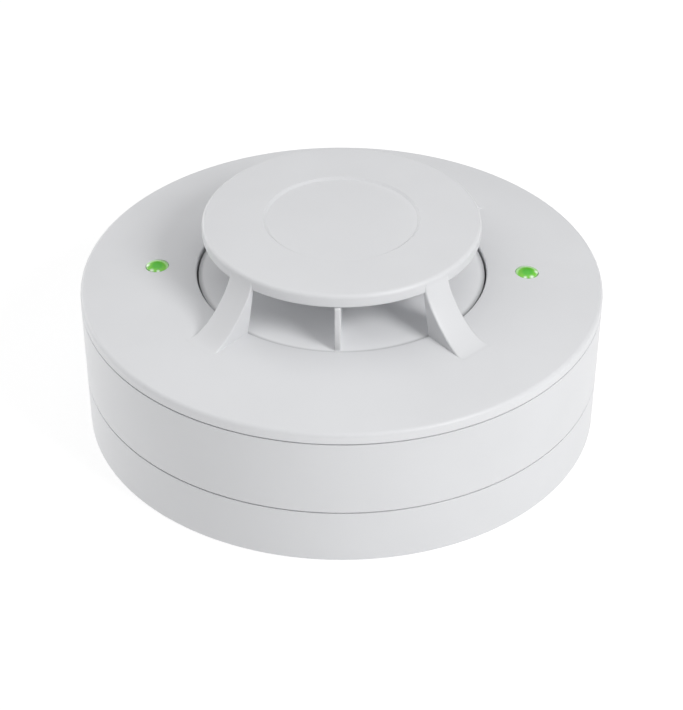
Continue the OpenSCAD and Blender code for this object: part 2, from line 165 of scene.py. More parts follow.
class Shader:
    """Node tree of one material or of the world, with few ways to add to it."""

    def __init__(self, tree: bpy.types.NodeTree) -> None:
        """Empties the tree, ready for new nodes.

        Args:
            tree: node tree of a material or a world.
        """
        self.tree = tree
        self.tree.nodes.clear()

    def _socket(self, sockets: Iterable[bpy.types.NodeSocket], key: Key) -> bpy.types.NodeSocket:
        """Finds a socket by its place, identifier or name.

        Args:
            sockets: the inputs or the outputs of a node.
            key: place, identifier or name.

        Returns:
            The socket.
        """
        if isinstance(key, int):
            return sockets[key]
        return next(s for s in sockets if key in (s.identifier, s.name))

    def raw(self, kind: str, settings: dict[str, object], inputs: dict[Key, object]) -> Node:
        """Adds a node, gives it its settings and then its inputs.

        Args:
            kind: node type, such as ShaderNodeTexNoise.
            settings: the node's attributes, which are set first.
            inputs: numbers, colours or wires by socket name or place.

        Returns:
            The node.
        """
        node = self.tree.nodes.new(kind)
        for name, value in settings.items():
            setattr(node, name, value)
        for key, value in inputs.items():
            target = self._socket(node.inputs, key)
            if isinstance(value, Wire):
                self.tree.links.new(value.socket, target)
            else:
                target.default_value = value
        return node

    def add(
        self, kind: str, settings: dict[str, object], inputs: dict[Key, object], output: Key = 0
    ) -> Wire:
        """Adds a node and gives back one of its outputs.

        Args:
            kind: node type.
            settings: the node's attributes, which are set first.
            inputs: numbers, colours or wires by socket name or place.
            output: name or place of the output.

        Returns:
            The output as a wire.
        """
        node = self.raw(kind, settings, inputs)
        return Wire(self, self._socket(node.outputs, output))

    def place(self) -> Wire:
        """Position on the piece, in metres, which stays with the piece as it moves."""
        return self.add("ShaderNodeTexCoord", {}, {}, "Object")

    def axes(self, vector: Wire) -> tuple[Wire, Wire, Wire]:
        """Splits a vector into its three axes.

        Args:
            vector: the vector.

        Returns:
            Wires for X, Y and Z.
        """
        node = self.raw("ShaderNodeSeparateXYZ", {}, {0: vector})
        return tuple(Wire(self, socket) for socket in node.outputs)

    def noise(self, vector: Wire, size: float, detail: float = 2.0, roughness: float = 0.5) -> Wire:
        """Cloudy noise from 0 to 1.

        Args:
            vector: position in metres.
            size: size of one cloud, in metres.
            detail: number of finer layers.
            roughness: weight of the finer layers.

        Returns:
            The noise as a value.
        """
        inputs = {"Vector": vector, "Scale": 1.0 / size, "Detail": detail, "Roughness": roughness}
        return self.add("ShaderNodeTexNoise", {}, inputs)

    def blend(self, factor: Operand, first: Union[Wire, Colour], second: Union[Wire, Colour]) -> Wire:
        """Mixes two colours.

        Args:
            factor: share of the second colour.
            first: colour at factor 0.
            second: colour at factor 1.

        Returns:
            The mixed colour.
        """
        colours = [c if isinstance(c, Wire) else (*c, 1.0) for c in (first, second)]
        inputs = {"Factor_Float": factor, "A_Color": colours[0], "B_Color": colours[1]}
        return self.add("ShaderNodeMix", {"data_type": "RGBA"}, inputs, "Result_Color")

    def bump(self, height: Wire, distance: float, strength: float = 1.0) -> Wire:
        """Normal that follows a height.

        Args:
            height: height from 0 to 1.
            distance: depth of the relief, in metres.
            strength: share of the effect.

        Returns:
            The normal.
        """
        inputs = {"Height": height, "Distance": distance, "Strength": strength}
        return self.add("ShaderNodeBump", {}, inputs)


def make_material(name: str, sheet: Callable[[Shader], Sheet]) -> bpy.types.Material:
    """Makes a material around one Principled shader.

    Args:
        name: the material's name.
        sheet: function that adds the nodes and returns the shader's inputs.

    Returns:
        The material.
    """
    material = bpy.data.materials.new(name)
    material.use_nodes = True
    shader = Shader(material.node_tree)
    surface = shader.add("ShaderNodeBsdfPrincipled", {}, sheet(shader))
    shader.raw("ShaderNodeOutputMaterial", {}, {"Surface": surface})
    return material


# ---------------------------------------------------------------- finishes


@dataclass(frozen=True)
class Finish:
    """Procedural finish of one material."""

    name: str

    def material(self) -> bpy.types.Material:
        """Makes the material."""
        return make_material(self.name, self.sheet)

    def sheet(self, shader: Shader) -> Sheet:
        """Adds the finish's nodes, in each kind of finish its own.

        Args:
            shader: the material's shader.

        Returns:
            Inputs of the Principled shader.
        """
        raise NotImplementedError(self.name)


@dataclass(frozen=True)
class MouldedPlastic(Finish):
    """Satin moulded plastic: a fine spark-eroded grain, faint flow clouds and, where it has a radius,
    painted shade along its outer edge.
    """

    tone: Colour
    roughness: float = 0.4
    cloud_size: float = 22 * MM
    grain_size: float = 0.22 * MM
    grain_depth: float = 0.0025 * MM
    cloud_shade: float = 0.972
    gloss_swing: float = 0.12
    # Painted shade: the surface grows darker towards this outer radius, over this width, by this share,
    # towards this colour.
    painted_shade_r: float = 0.0
    painted_shade_w: float = 1.1 * MM
    painted_shade: float = 0.6
    painted_shade_tone: Colour = (0.25, 0.255, 0.265)

    def sheet(self, shader: Shader) -> Sheet:
        """Adds clouds, grain, gloss variation and, where it has a radius, painted shade at the outer edge.

        Args:
            shader: the material's shader.

        Returns:
            Inputs of the Principled shader.
        """
        place = shader.place()
        clouds = shader.noise(place, self.cloud_size, 3.0)
        grain = shader.noise(place, self.grain_size, 3.0, 0.6)
        smudge = shader.noise(place, self.cloud_size / 4, 4.0, 0.6)
        shaded = tuple(c * self.cloud_shade for c in self.tone)
        colour = shader.blend(clouds.step(0.3, 0.7), shaded, self.tone)
        # Painted shade: darker towards the outer radius, standing in for the shade in the gap round the
        # edge.
        if self.painted_shade_r:
            x, y, _ = shader.axes(place)
            reach = (x * x + y * y) ** 0.5
            edge = reach.step(self.painted_shade_r - self.painted_shade_w, self.painted_shade_r)
            colour = shader.blend(self.painted_shade * edge, colour, self.painted_shade_tone)
        return {
            "Base Color": colour,
            "Roughness": self.roughness - self.gloss_swing / 2 + self.gloss_swing * smudge,
            "Specular IOR Level": 0.45,
            "Normal": shader.bump(grain, self.grain_depth),
        }


@dataclass(frozen=True)
class BrushedMetal(Finish):
    """Metal with fine drawn lines and patches of tarnish."""

    tone: Colour
    tarnish: Colour
    roughness: float = 0.28
    line_size: float = 0.05 * MM
    line_length: float = 2.5 * MM
    line_depth: float = 0.002 * MM
    patch_size: float = 1.6 * MM

    def sheet(self, shader: Shader) -> Sheet:
        """Adds the drawn lines and the tarnish.

        Args:
            shader: the material's shader.

        Returns:
            Inputs of the Principled shader.
        """
        place = shader.place()
        stretch = self.line_size / self.line_length
        lines = shader.noise(place * (stretch, 1.0, 1.0), self.line_size, 2.0)
        patches = shader.noise(place, self.patch_size, 4.0, 0.6)
        return {
            "Base Color": shader.blend(patches.step(0.42, 0.72), self.tone, self.tarnish),
            "Metallic": 1.0,
            "Roughness": self.roughness - 0.08 + 0.1 * lines + 0.1 * patches,
            "Normal": shader.bump(lines, self.line_depth),
        }


@dataclass(frozen=True)
class SoftRubber(Finish):
    """Dull moulded rubber with a dusty bloom."""

    name: str = "seal_rubber_finish"
    tone: Colour = (0.03, 0.03, 0.032)
    dust: float = 0.03
    bloom_size: float = 3 * MM
    grain_size: float = 0.12 * MM
    grain_depth: float = 0.006 * MM

    def sheet(self, shader: Shader) -> Sheet:
        """Adds the bloom and a matt grain.

        Args:
            shader: the material's shader.

        Returns:
            Inputs of the Principled shader.
        """
        place = shader.place()
        bloom = shader.noise(place, self.bloom_size, 4.0, 0.65)
        grain = shader.noise(place, self.grain_size, 2.0)
        dusty = tuple(c + self.dust for c in self.tone)
        return {
            "Base Color": shader.blend(bloom.step(0.45, 0.8), self.tone, dusty),
            "Roughness": 0.62 + 0.2 * bloom,
            "Normal": shader.bump(grain, self.grain_depth),
        }


@dataclass(frozen=True)
class GreenLens(Finish):
    """Clear green plastic with painted light: a deep centre, a painted lit rim, painted highlights where
    its edge catches light and a faint painted glow.
    """

    centre: Point
    radius: float
    gleams: tuple[Corner, ...]
    # Pale is the colour of the painted lit rim; gleam and its strength give the painted highlights.
    deep: Colour = (0.07, 0.46, 0.02)
    middle: Colour = (0.16, 0.55, 0.03)
    pale: Colour = (0.42, 0.78, 0.3)
    gleam: Colour = (0.93, 1.0, 0.9)
    gleam_strength: float = 0.85
    mark_size: float = 0.7 * MM
    core_at: Point = (0.05, -0.2)
    rim_at: Point = (0.0, -0.35)

    def _reach(self, x: Wire, y: Wire, at: Point) -> Wire:
        """Distance from a spot on the lens, in radii of the lens.

        Args:
            x: distance from the lens's centre along X, in metres.
            y: distance from it along Y.
            at: the spot, in radii of the lens.

        Returns:
            The distance.
        """
        across, along = x / self.radius - at[0], y / self.radius - at[1]
        return (across * across + along * along) ** 0.5

    def sheet(self, shader: Shader) -> Sheet:
        """Adds the deep centre, the painted lit rim, the painted highlights, a faint painted glow and fine
        mould marks.

        Args:
            shader: the material's shader.

        Returns:
            Inputs of the Principled shader.
        """
        place = shader.place()
        x, y, _ = shader.axes(place - (self.centre[0], self.centre[1], 0.0))
        marks = shader.noise(place, self.mark_size, 2.0)
        core = self._reach(x, y, self.core_at) + 0.25 * marks
        colour = shader.blend(core.step(0.45, 0.85), self.deep, self.middle)
        # Painted light: the rim grows pale towards the back, as if lit through the dome.
        rim = self._reach(x, y, self.rim_at) + 0.1 * marks
        colour = shader.blend(rim.step(0.78, 1.02), colour, self.pale)
        # Painted highlights: pale spots where the edge would catch the light.
        for along_x, along_y, size in self.gleams:
            spot = self.gleam_strength * self._reach(x, y, (along_x, along_y)).step(size, 0.0)
            colour = shader.blend(spot, colour, self.gleam)
        return {
            "Base Color": colour,
            "Roughness": 0.1 + 0.06 * marks,
            "Coat Weight": 0.6,
            "Coat Roughness": 0.05,
            # Painted glow: the lens gives off a little light in its own colour.
            "Emission Color": colour,
            "Emission Strength": 0.12,
        }


@dataclass(frozen=True)
class SolderMask(Finish):
    """Green circuit board: copper tracks under the mask and a faint glass weave."""

    name: str = "board_finish"
    mask: Colour = (0.012, 0.13, 0.045)
    track: Colour = (0.03, 0.24, 0.075)
    track_pitch: float = 1.3 * MM
    track_gap: float = 0.16 * MM
    weave_scale: float = 260.0
    relief: float = 0.02 * MM

    def sheet(self, shader: Shader) -> Sheet:
        """Adds tracks and weave.

        Args:
            shader: the material's shader.

        Returns:
            Inputs of the Principled shader.
        """
        place = shader.place()
        bricks = {"Vector": place, "Scale": 1.0, "Mortar Size": self.track_gap, "Mortar Smooth": 0.2,
                  "Brick Width": 7 * self.track_pitch, "Row Height": self.track_pitch}
        tracks = shader.add("ShaderNodeTexBrick", {"offset": 0.37}, bricks, "Fac")
        threads = {"Vector": place, "Scale": self.weave_scale}
        weave = shader.add("ShaderNodeTexWave", {"wave_type": "BANDS"}, threads)
        return {
            "Base Color": shader.blend(tracks, self.mask, self.track),
            "Roughness": 0.22 + 0.1 * shader.noise(place, 2 * MM),
            "Coat Weight": 0.6,
            "Normal": shader.bump(tracks + 0.2 * weave, self.relief),
        }


@dataclass(frozen=True)
class SpeckledBody(Finish):
    """Matt moulded body of an electronic part, with fine filler specks."""

    tone: Colour
    speck: Colour
    roughness: float = 0.5
    speck_size: float = 0.09 * MM
    speck_depth: float = 0.004 * MM
    patch_size: float = 1.2 * MM

    def sheet(self, shader: Shader) -> Sheet:
        """Adds the specks and a fine grain.

        Args:
            shader: the material's shader.

        Returns:
            Inputs of the Principled shader.
        """
        place = shader.place()
        specks = shader.noise(place, self.speck_size, 2.0)
        patches = shader.noise(place, self.patch_size, 3.0)
        return {
            "Base Color": shader.blend(specks.step(0.55, 0.75), self.tone, self.speck),
            "Roughness": self.roughness - 0.05 + 0.14 * patches,
            "Normal": shader.bump(specks, self.speck_depth),
        }


WHITE_SHELL: Colour = (0.74, 0.746, 0.762)
# The base and the housing take a slightly darker copy of the shell's white: painted shade on the side
# walls.
SHADED_SIDE_WHITE: Colour = (0.71, 0.716, 0.731)
FINISHES = {
    "base_plastic": MouldedPlastic("base_plastic_finish", SHADED_SIDE_WHITE, 0.33),
    "housing_plastic": MouldedPlastic("housing_plastic_finish", SHADED_SIDE_WHITE, 0.32),
    "cover_plastic": MouldedPlastic("cover_plastic_finish", WHITE_SHELL, 0.4),
    # The dish's outer edge gets painted shade for the shaded gap between the dish and the cover's opening.
    "dish_plastic": MouldedPlastic("dish_plastic_finish", (0.88, 0.886, 0.9), 0.45, painted_shade_r=DISH_R * MM),
    "bush_plastic": MouldedPlastic("bush_plastic_finish", (0.62, 0.6, 0.54), 0.4, 4 * MM),
    "led_body": MouldedPlastic("led_body_finish", (0.78, 0.76, 0.68), 0.25, 1.5 * MM),
    "contact_metal": BrushedMetal("contact_metal_finish", (0.83, 0.68, 0.4), (0.55, 0.38, 0.2), 0.26),
    "clamp_steel": BrushedMetal("clamp_steel_finish", (0.66, 0.66, 0.64), (0.46, 0.45, 0.4), 0.34),
    "screw_steel": BrushedMetal("screw_steel_finish", (0.7, 0.7, 0.69), (0.5, 0.48, 0.42), 0.28),
    "lead_wire": BrushedMetal("lead_wire_finish", (0.74, 0.74, 0.75), (0.55, 0.55, 0.54), 0.3),
    "capacitor_can": BrushedMetal("capacitor_can_finish", (0.8, 0.8, 0.81), (0.66, 0.66, 0.67), 0.24),
    "crystal_can": BrushedMetal("crystal_can_finish", (0.76, 0.75, 0.72), (0.6, 0.58, 0.53), 0.22),
    "seal_rubber": SoftRubber(),
    "board": SolderMask(),
    "bead_epoxy": SpeckledBody("bead_epoxy_finish", (0.012, 0.012, 0.014), (0.03, 0.03, 0.032), 0.22),
    "chip_body": SpeckledBody("chip_body_finish", (0.016, 0.016, 0.018), (0.05, 0.05, 0.05), 0.55),
    "ceramic": SpeckledBody("ceramic_finish", (0.42, 0.3, 0.17), (0.55, 0.42, 0.27), 0.45),
    "resistor_body": SpeckledBody("resistor_body_finish", (0.02, 0.02, 0.022), (0.08, 0.08, 0.08), 0.35),
}


class Paints:
    """Materials of the record's slots, made when first asked for."""

    def __init__(self) -> None:
        """Starts with none made."""
        self.made: dict[str, bpy.types.Material] = {}

    def of(self, slot: str) -> bpy.types.Material:
        """Gives the material of a slot, which it makes only once.

        Args:
            slot: the record's material slot.

        Returns:
            The material.
        """
        if slot not in self.made:
            self.made[slot] = FINISHES[slot].material()
        return self.made[slot]


# ---------------------------------------------------------------- mesh work


class Joinery(Enum):
    """How a second solid changes the first."""

    ADD = "UNION"
    CUT = "DIFFERENCE"


def rounded(corners: Sequence[Corner], closed: bool) -> list[Point]:
    """Outline with its corners rounded by tangent arcs.

    Args:
        corners: (radius, height, rounding) in millimetres.
        closed: whether the last corner joins the first.

    Returns:
        Points of the outline, in millimetres.
    """
    points: list[Point] = []
    count = len(corners)
    for i, (r, z, rounding) in enumerate(corners):
        at_end = not closed and i in (0, count - 1)
        if rounding <= 0 or at_end:
            points.append((r, z))
            continue
        here = Vector((r, z))
        before = Vector(corners[i - 1][:2]) - here
        after = Vector(corners[(i + 1) % count][:2]) - here
        half = before.angle(after) / 2
        reach = min(rounding / math.tan(half), 0.49 * before.length, 0.49 * after.length)
        inward = (before.normalized() + after.normalized()).normalized()
        centre = here + inward * (reach / math.cos(half))
        start = here + before.normalized() * reach - centre
        turn = start.angle_signed(here + after.normalized() * reach - centre)
        steps = max(2, math.ceil(abs(math.degrees(turn)) / ARC_STEP_DEG))
        for k in range(steps + 1):
            spoke = start.copy()
            spoke.rotate(Matrix.Rotation(-turn * k / steps, 2))
            points.append(tuple(centre + spoke))
    return points


def new_piece(name: str, vertices: Iterable[Sequence[float]], faces: Iterable[Sequence[int]]) -> Object:
    """Makes a mesh object from points in millimetres.

    Args:
        name: the object's name.
        vertices: points in millimetres.
        faces: vertex places of each face.

    Returns:
        The object, with its faces turned outwards.
    """
    mesh = bpy.data.meshes.new(name)
    mesh.from_pydata([[c * MM for c in v] for v in vertices], [], list(faces))
    work = bmesh.new()
    work.from_mesh(mesh)
    bmesh.ops.remove_doubles(work, verts=work.verts, dist=1e-8)
    bmesh.ops.recalc_face_normals(work, faces=work.faces)
    work.to_mesh(mesh)
    work.free()
    piece = bpy.data.objects.new(name, mesh)
    bpy.context.scene.collection.objects.link(piece)
    return piece


def turned(name: str, corners: Sequence[Corner], segments: int, at: Point = (0.0, 0.0)) -> Object:
    """Solid turned about a vertical axis.

    Args:
        name: the object's name.
        corners: (radius, height, rounding) of its outline; one that meets the axis starts and ends on it.
        segments: number of steps round the axis.
        at: X and Y of the axis, in millimetres.

    Returns:
        The object.
    """
    meets_axis = corners[0][0] == 0
    vertices: list[Corner] = []
    rows: list[list[int]] = []
    for r, z in rounded(corners, closed=not meets_axis):
        first = len(vertices)
        if r == 0:
            vertices.append((at[0], at[1], z))
            rows.append([first] * segments)
            continue
        angles = [2 * math.pi * k / segments for k in range(segments)]
        vertices += [(at[0] + r * math.cos(a), at[1] + r * math.sin(a), z) for a in angles]
        rows.append(list(range(first, first + segments)))
    pairs = list(zip(rows, rows[1:]))
    if not meets_axis:
        pairs.append((rows[-1], rows[0]))
    faces = []
    for low, high in pairs:
        for k in range(segments):
            following = (k + 1) % segments
            loop = [low[k], low[following], high[following], high[k]]
            faces.append(list(dict.fromkeys(loop)))
    return new_piece(name, vertices, faces)


def gathered(pieces: Sequence[Object]) -> Object:
    """Joins separate solids into one object.

    Args:
        pieces: the objects, of which the first is kept.

    Returns:
        The first object, which now holds them all.
    """
    kept = pieces[0]
    work = bmesh.new()
    for piece in pieces:
        work.from_mesh(piece.data)
    work.to_mesh(kept.data)
    work.free()
    for piece in pieces[1:]:
        bpy.data.objects.remove(piece)
    return kept


def joined(target: Object, tools: Sequence[Object], how: Joinery) -> None:
    """Adds solids to a piece or cuts them out of it.

    Args:
        target: the piece.
        tools: solids that stay clear of each other; they are used up.
        how: whether they are added or cut.
    """
    tool = gathered(tools)
    modifier = target.modifiers.new("joinery", "BOOLEAN")
    modifier.operation = how.value
    modifier.solver = "EXACT"
    modifier.object = tool
    shaped = bpy.data.meshes.new_from_object(target.evaluated_get(bpy.context.evaluated_depsgraph_get()))
    target.modifiers.clear()
    target.data = shaped
    bpy.data.objects.remove(tool)


def turn_about_z(piece: Object, degrees: float) -> Object:
    """Turns a piece's mesh about the detector's axis.

    Args:
        piece: the object.
        degrees: the angle.

    Returns:
        The same object.
    """
    piece.data.transform(Matrix.Rotation(math.radians(degrees), 4, "Z"))
    return piece


def around(angles: Iterable[float], make: Callable[[], Object]) -> list[Object]:
    """Makes a solid once for each angle and turns it there about the detector's axis.

    Args:
        angles: the angles, in degrees.
        make: function that makes the solid at angle 0.

    Returns:
        The solids.
    """
    return [turn_about_z(make(), angle) for angle in angles]


def shade(piece: Object, sharp_deg: float) -> None:
    """Smooths a piece's faces, leaving its real edges crisp.

    Args:
        piece: the object.
        sharp_deg: edges that bend more than this stay sharp.
    """
    piece.data.shade_smooth()
    piece.data.set_sharp_from_angle(angle=math.radians(sharp_deg))
    weighted = piece.modifiers.new("even_normals", "WEIGHTED_NORMAL")
    weighted.keep_sharp = True


def block(name: str, low: Sequence[float], high: Sequence[float], rounding: float) -> Object:
    """Box with rounded edges.

    Args:
        name: the object's name.
        low: lowest corner, in millimetres.
        high: highest corner, in millimetres.
        rounding: radius of its edges, in millimetres.

    Returns:
        The object.
    """
    xs, ys, zs = zip(low, high)
    vertices = [(x, y, z) for x in xs for y in ys for z in zs]
    faces = [(0, 1, 3, 2), (4, 6, 7, 5), (0, 4, 5, 1), (2, 3, 7, 6), (0, 2, 6, 4), (1, 5, 7, 3)]
    piece = new_piece(name, vertices, faces)
    work = bmesh.new()
    work.from_mesh(piece.data)
    edges = work.edges[:]
    bmesh.ops.bevel(work, geom=edges, offset=rounding * MM, segments=3, profile=0.5, affect="EDGES")
    work.to_mesh(piece.data)
    work.free()
    return piece


def lofted_faces(rings: int, count: int) -> list[Sequence[int]]:
    """Faces of a solid made of equal closed rings of points, one after the other, with its two ends.

    Args:
        rings: number of rings.
        count: number of points in each ring.

    Returns:
        Vertex places of each face.
    """
    faces: list[Sequence[int]] = [tuple(range(count)), tuple(range((rings - 1) * count, rings * count))]
    for i in range(rings - 1):
        for j in range(count):
            k = (j + 1) % count
            faces.append((i * count + j, i * count + k, (i + 1) * count + k, (i + 1) * count + j))
    return faces


def sector(name: str, radii: Point, heights: Point, angles: Point, rounding: float) -> Object:
    """Part of a ring with rounded edges.

    Args:
        name: the object's name.
        radii: inner and outer radius, in millimetres.
        heights: lowest and highest point, in millimetres.
        angles: where it starts and ends about the axis, in degrees.
        rounding: radius of its edges, in millimetres.

    Returns:
        The object.
    """
    corner_steps, span_steps, least_rounding = 3, 12, 0.01
    stations: list[Point] = []
    for k in range(corner_steps + 1):
        b = math.pi / 2 * k / corner_steps
        turn = math.degrees(rounding * (1 - math.cos(b)) / radii[1])
        stations.append((turn, rounding * (1 - math.sin(b))))
    span = angles[1] - angles[0]
    middle = [(span * k / span_steps, 0.0) for k in range(1, span_steps)]
    stations = stations + middle + [(span - turn, inset) for turn, inset in reversed(stations)]
    vertices: list[Corner] = []
    for turn, inset in stations:
        inner, outer = radii[0] + inset, radii[1] - inset
        low, high = heights[0] + inset, heights[1] - inset
        soft = rounding - inset + least_rounding
        a = math.radians(angles[0] + turn)
        section = [(inner, low, soft), (outer, low, soft), (outer, high, soft), (inner, high, soft)]
        for r, z in rounded(section, closed=True):
            vertices.append((r * math.cos(a), r * math.sin(a), z))
    return new_piece(name, vertices, lofted_faces(len(stations), len(vertices) // len(stations)))


def settle(
    piece: Object,
    body: str,
    material: bpy.types.Material,
    node: str,
    sharp_deg: float = SHARP_DEG,
) -> None:
    """Finishes a piece: shading, material, the body it rides on and the solid it stands for.

    Args:
        piece: the object.
        body: name of the body it moves with.
        material: its material.
        node: the solid that the piece stands for.
        sharp_deg: edges that bend more than this stay sharp.
    """
    shade(piece, sharp_deg)
    piece.data.materials.clear()
    piece.data.materials.append(material)
    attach(piece, body)
    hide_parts(node)
    log.info("built %s on %s", piece.name, body)


def low_mm(node: str) -> Vector:
    """Lowest corner of a solid's box, in millimetres."""
    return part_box(node)[0] / MM


def high_mm(node: str) -> Vector:
    """Highest corner of a solid's box, in millimetres."""
    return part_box(node)[1] / MM


# ---------------------------------------------------------------- sub-assemblies


@dataclass
class SideWall:
    """Outside of the detector's side, which narrows a little from the cover's seam down to its foot."""

    top_r: float = field(default_factory=lambda: high_mm("outer_cover").x)
    band_top_z: float = field(default_factory=lambda: high_mm("head_housing").z)
    seam_gap: float = 0.25
    draft: float = 0.6

    @property
    def seam_z(self) -> float:
        """Height of the cover's seam."""
        return self.band_top_z + self.seam_gap / 2

    def radius(self, z: float) -> float:
        """Radius of the wall at a height."""
        return self.top_r - self.draft * (self.seam_z - z) / self.seam_z


@dataclass
class TwistLock:
    """Sizes that the base and the head's housing share where they lock together."""

    bore_r: float = 45.0
    inner_r: float = 47.2
    ledge_z: float = 6.1
    catch_z: float = 8.15
    catch_t: float = 2.0
    lug_z: float = 6.25
    lug_t: float = 1.6
    lug_r: float = 46.7
    lug_deg: float = 18.0
    release_deg: float = 20.0
    stop_deg: float = 3.0
    stop_gap_deg: float = 0.4
    stop_root: float = 0.4
    stop_rise: float = 0.3
    tooth_round: float = 0.25
    places: tuple[float, ...] = (0.0, 120.0, 240.0)

    def teeth(self, name: str, radii: Point, heights: Point) -> list[Object]:
        """Makes one lug or catch at each place of the lock.

        Args:
            name: name of each tooth.
            radii: inner and outer radius, in millimetres.
            heights: lowest and highest point, in millimetres.

        Returns:
            The teeth.
        """
        half = self.lug_deg / 2
        return [sector(name, radii, heights, (a - half, a + half), self.tooth_round) for a in self.places]

    def stops(self) -> list[Object]:
        """Makes the pairs of stops that a lug meets when it is locked and when it is released.

        Returns:
            The stops.
        """
        reach = self.lug_deg / 2 + self.stop_gap_deg
        radii = (self.bore_r + self.stop_root, self.inner_r + self.stop_root)
        heights = (self.ledge_z - self.stop_root, self.catch_z + self.stop_rise)
        made = []
        for place in self.places:
            locked, released = place - reach, place + self.release_deg + reach
            for start in (locked - self.stop_deg, released):
                made.append(sector("stop", radii, heights, (start, start + self.stop_deg), FINE_EDGE))
        return made


@dataclass
class MountingBase:
    """Terminal base with a cable hole, two fixing slots, terminal plinths and the lock's catches."""

    paints: Paints
    wall: SideWall
    lock: TwistLock
    floor_t: float = 2.0
    foot_round: float = 0.6
    cable_r: float = 11.0
    collar_t: float = 1.6
    collar_h: float = 2.0
    ledge_w: float = 2.4
    terminal_r: float = 24.0
    plinth_h: float = 1.6
    plinth_root: float = 0.6
    plinth_end: float = 5.0
    plinth_reach: float = 8.0
    plinth_half_w: float = 5.0
    pilot_r: float = 2.15
    pilot_z: float = 0.6
    slot_spacing: float = 60.0
    slot_len: float = 12.0
    slot_w: float = 4.4

    def shell(self) -> Object:
        """Turns the base's wall, floor, ledge and cable collar.

        Returns:
            The solid.
        """
        top_z = high_mm("mounting_base").z
        ledge_r = self.lock.bore_r - self.ledge_w
        collar_r = self.cable_r + self.collar_t
        return turned("base_shell", [
            (self.cable_r, 0.0, 0.4),
            (self.wall.radius(0.0), 0.0, self.foot_round),
            (self.wall.radius(top_z), top_z, SEAM_EDGE),
            (self.lock.inner_r, top_z, MOULD_EDGE),
            (self.lock.inner_r, self.lock.ledge_z, FINE_EDGE),
            (ledge_r, self.lock.ledge_z, MOULD_EDGE),
            (ledge_r, self.floor_t, 0.5),
            (collar_r, self.floor_t, 0.4),
            (collar_r, self.floor_t + self.collar_h, 0.35),
            (self.cable_r, self.floor_t + self.collar_h, 0.35),
        ], ROUND_SEGMENTS)

    def plinths(self) -> list[Object]:
        """Makes the plinth under each terminal.

        Returns:
            The plinths.
        """
        low = (self.terminal_r - self.plinth_end, -self.plinth_half_w, self.floor_t - self.plinth_root)
        high = (self.terminal_r + self.plinth_reach, self.plinth_half_w, self.floor_t + self.plinth_h)
        return around(TERMINAL_ANGLES, lambda: block("plinth", low, high, MOULD_EDGE))

    def fixing_slot(self, side: int) -> Object:
        """Makes the cutter of one fixing slot.

        Args:
            side: -1 for the slot on the left, 1 for the one on the right.

        Returns:
            The cutter.
        """
        steps = 64
        half_w, reach = self.slot_w / 2, (self.slot_len - self.slot_w) / 2
        ends = []
        for k in range(steps):
            a = 2 * math.pi * k / steps
            shift = reach if math.cos(a) >= 0 else -reach
            ends.append((side * self.slot_spacing / 2 + shift + half_w * math.cos(a), half_w * math.sin(a)))
        vertices = [(x, y, z) for z in (-PAST, self.floor_t + PAST) for x, y in ends]
        return new_piece("fixing_slot", vertices, lofted_faces(2, len(ends)))

    def pilots(self) -> list[Object]:
        """Makes the cutters of the holes under the terminal screws.

        Returns:
            The cutters.
        """
        low, high = self.pilot_z, self.floor_t + self.plinth_h + PAST
        pilot = [(0.0, low, 0.0), (self.pilot_r, low, 0.0), (self.pilot_r, high, 0.0), (0.0, high, 0.0)]
        at = (self.terminal_r, 0.0)
        return around(TERMINAL_ANGLES, lambda: turned("pilot", pilot, SMALL_SEGMENTS, at))

    def build(self) -> None:
        """Builds the base as one moulding."""
        base = self.shell()
        radii = (self.lock.bore_r, self.lock.inner_r + self.lock.stop_root)
        heights = (self.lock.catch_z, self.lock.catch_z + self.lock.catch_t)
        joined(base, self.lock.stops(), Joinery.ADD)
        joined(base, self.lock.teeth("catch", radii, heights), Joinery.ADD)
        joined(base, self.plinths(), Joinery.ADD)
        joined(base, [self.fixing_slot(-1), self.fixing_slot(1), *self.pilots()], Joinery.CUT)
        base.name = "base_moulding"
        settle(base, "base", self.paints.of("base_plastic"), "mounting_base")


